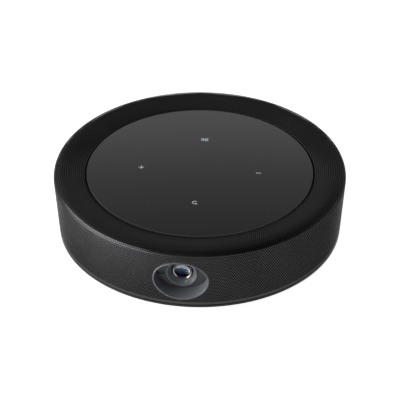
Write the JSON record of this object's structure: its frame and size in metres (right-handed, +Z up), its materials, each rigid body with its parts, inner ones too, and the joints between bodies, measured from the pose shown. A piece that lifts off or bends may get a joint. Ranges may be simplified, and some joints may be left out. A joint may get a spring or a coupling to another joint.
{
  "type": "conference speakerphone",
  "caption": "Low round speakerphone wrapped in perforated black metal, with a sunk touch glass on top and a camera lens in an oval recess in its side.",
  "frame": {"origin": "middle of the foot ring, on the surface that the object stands on", "axes": "+Z up; the camera lens looks along -Y; the ports are at +Y; the speakers face -X and +X"},
  "size_m": [0.18, 0.1801, 0.0424],
  "materials": {
    "grille_black": "black powder coat on perforated sheet",
    "case_black": "fine moulded texture",
    "frame_black": "plain moulded black",
    "rubber_black": "soft matte rubber",
    "cover_glass": "black printed cover glass, opaque",
    "lens_glass": "coated clear glass",
    "lens_black": "satin black around the lens",
    "window_dark": "dark filter plastic",
    "screw_steel": "dark zinc",
    "bright_steel": "plated steel",
    "board_green": "solder mask on glass fibre board",
    "chip_black": "moulded chip packages",
    "copper": "copper",
    "aluminium_plain": "extruded aluminium",
    "diffuser_white": "milky diffuser",
    "flex_amber": "amber film",
    "lead_red": "soft insulation",
    "cone_paper": "black pulp cone",
    "mic_brass": "plated can"
  },
  "bodies": {
    "case": {"base_cover": "case_black", "foot_ring": "rubber_black", "base_screws": "screw_steel", "main_frame": "frame_black", "mesh_grille": "grille_black", "top_plate": "frame_black", "glass_bond": "rubber_black", "touch_glass": "cover_glass", "touch_board": "board_green", "touch_pads": "copper", "light_guides": "diffuser_white", "key_lamps": "diffuser_white", "frame_screws": "screw_steel", "mic_board": "board_green", "mic_boots": "rubber_black", "microphones": "mic_brass", "driver_gaskets": "rubber_black", "basket_left": "case_black", "basket_right": "case_black", "pot_left": "bright_steel", "pot_right": "bright_steel", "driver_magnets": "bright_steel", "pole_plates": "bright_steel", "surround_left": "rubber_black", "surround_right": "rubber_black", "driver_screws": "screw_steel", "lens_cup": "lens_black", "lens_plate": "lens_black", "lens_shroud": "lens_black", "lens_barrel": "lens_black", "lens_retainer": "lens_black", "front_lens": "lens_glass", "inner_lenses": "lens_glass", "lens_holder": "frame_black", "camera_board": "board_green", "image_sensor": "chip_black", "sensor_window": "window_dark", "range_sensor": "chip_black", "camera_screws": "screw_steel", "main_board": "board_green", "processor": "chip_black", "board_chips": "chip_black", "heat_spreader": "aluminium_plain", "board_screws": "screw_steel", "port_panel": "case_black", "port_board": "board_green", "usb_socket": "bright_steel", "dc_inlet": "case_black", "audio_socket": "case_black", "power_switch": "chip_black", "camera_cable": "flex_amber", "touch_cable": "flex_amber", "speaker_leads": "lead_red"},
    "left_cone": {"cone_left": "cone_paper", "dust_cap_left": "cone_paper", "voice_coil_left": "copper"},
    "right_cone": {"cone_right": "cone_paper", "dust_cap_right": "cone_paper", "voice_coil_right": "copper"},
    "button": {"power_button": "case_black"}
  },
  "joints": [
    {"name": "left_cone_slide", "type": "slide", "parent": "case", "child": "left_cone", "axis": [-1, 0, 0], "range_m": [-0.0012, 0.0012], "stiffness_N_per_m": 900, "deforming": ["surround_left"]},
    {"name": "right_cone_slide", "type": "slide", "parent": "case", "child": "right_cone", "axis": [1, 0, 0], "range_m": [-0.0012, 0.0012], "stiffness_N_per_m": 900, "deforming": ["surround_right"]},
    {"name": "power_button_press", "type": "slide", "parent": "case", "child": "button", "axis": [0, -1, 0], "range_m": [0, 0.0006], "stiffness_N_per_m": 700}
  ]
}
